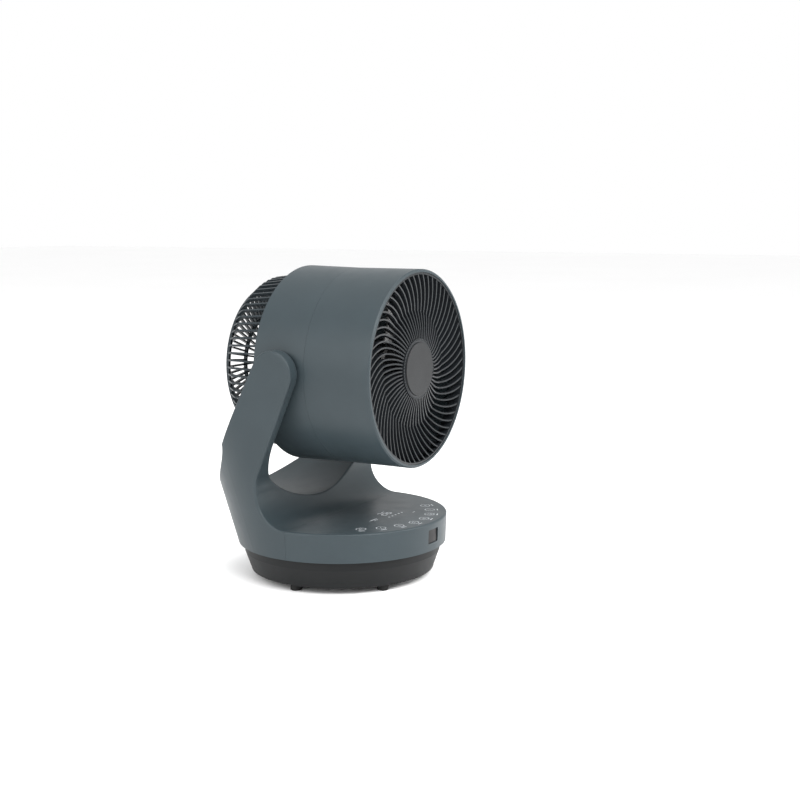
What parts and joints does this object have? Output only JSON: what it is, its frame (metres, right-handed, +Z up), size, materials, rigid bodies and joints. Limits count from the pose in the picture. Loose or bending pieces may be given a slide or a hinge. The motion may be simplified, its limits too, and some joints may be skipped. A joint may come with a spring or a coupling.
{
  "type": "desk air circulator fan",
  "caption": "Desk air circulator: round swivelling deck, leaning yoke arms, tilting ring head with drum-shaped front shroud, domed rear grille and removable impeller.",
  "frame": {"origin": "centre of the round base on the table, at the underside of the rubber feet", "axes": "+Z up, air leaves towards -Y, the tilt axis runs along X"},
  "size_m": [0.2244, 0.2261, 0.3095],
  "materials": {
    "slate_plastic": "satin slate blue-grey moulding",
    "dark_plastic": "matte near-black moulding",
    "black_gloss": "gloss black moulding",
    "grille_plastic": "satin dark slate moulding",
    "badge": "fine matte disc",
    "steel": "ground steel",
    "screw_steel": "zinc plated",
    "bronze": "sintered bronze",
    "copper": "enamelled copper wire",
    "ballast": "raw steel plate",
    "rubber": "soft black rubber",
    "acetal": "natural acetal",
    "board": "green solder mask",
    "window": "dark infrared window"
  },
  "bodies": {
    "base": {"base_shell": "dark_plastic", "base_plate": "dark_plastic", "rubber_feet": "rubber", "ballast_plate": "ballast", "base_screws": "screw_steel", "swivel_post": "acetal", "post_screws": "screw_steel", "glide_ring": "acetal", "swing_gear": "acetal", "retaining_washer": "steel", "dc_jack": "black_gloss"},
    "stand": {"yoke_frame": "slate_plastic", "arm_cover_left": "slate_plastic", "arm_cover_right": "slate_plastic", "deck_cover": "slate_plastic", "ir_window": "window", "deck_floor": "dark_plastic", "floor_screws": "screw_steel", "control_board": "board", "display_module": "black_gloss", "swing_motor": "steel", "pivot_pin_left": "steel", "pivot_pin_right": "steel"},
    "pinion": {"swing_pinion": "acetal", "pinion_shaft": "steel"},
    "head": {"pivot_bush_left": "dark_plastic", "pivot_bush_right": "dark_plastic", "ring_housing": "slate_plastic", "motor_housing": "black_gloss", "motor_plate": "black_gloss", "plate_screws": "screw_steel", "front_bearing": "bronze", "rear_bearing": "bronze", "stator_core": "steel", "stator_windings": "copper", "motor_strut": "dark_plastic", "tilt_gearbox": "dark_plastic", "gearbox_cover": "dark_plastic", "tilt_motor": "steel", "pivot_block": "dark_plastic"},
    "rotor": {"motor_shaft": "steel", "drive_pin": "steel", "rotor_core": "ballast"},
    "blade": {"impeller": "black_gloss"},
    "spinner": {"spinner_nut": "dark_plastic"},
    "front_shroud": {"shroud_drum": "slate_plastic", "spiral_grille": "grille_plastic", "grille_badge": "badge"},
    "rear_guard": {"rear_grille": "grille_plastic", "guard_cap": "grille_plastic"}
  },
  "joints": [
    {"name": "swivel", "type": "hinge", "parent": "base", "child": "stand", "pos_m": [0, 0, 0.034], "axis": [0, 0, 1], "range_deg": [-40, 40]},
    {"name": "pinion_spin", "type": "hinge", "parent": "stand", "child": "pinion", "pos_m": [0, 0.03012, 0.0427], "axis": [0, 0, 1], "range_deg": [-85, 85]},
    {"name": "tilt", "type": "hinge", "parent": "stand", "child": "head", "pos_m": [0, 0.0075, 0.2117], "axis": [-1, 0, 0], "range_deg": [-15, 90]},
    {"name": "rotor_spin", "type": "hinge", "parent": "head", "child": "rotor", "pos_m": [0, 0, 0.2117], "axis": [0, 1, 0], "continuous": true},
    {"name": "blade_pull", "type": "slide", "parent": "rotor", "child": "blade", "axis": [0, -1, 0], "range_m": [0, 0.12]},
    {"name": "spinner_pull", "type": "slide", "parent": "rotor", "child": "spinner", "axis": [0, -1, 0], "range_m": [0, 0.16]},
    {"name": "shroud_pull", "type": "slide", "parent": "head", "child": "front_shroud", "axis": [0, -1, 0], "range_m": [0, 0.27]},
    {"name": "guard_pull", "type": "slide", "parent": "head", "child": "rear_guard", "axis": [0, 1, 0], "range_m": [0, 0.235]}
  ],
  "couplings": [
    {"joint": "pinion_spin", "follows": "swivel", "ratio": 2},
    {"joint": "blade_pull", "follows": "shroud_pull", "ratio": 0.41},
    {"joint": "spinner_pull", "follows": "shroud_pull", "ratio": 0.56}
  ]
}
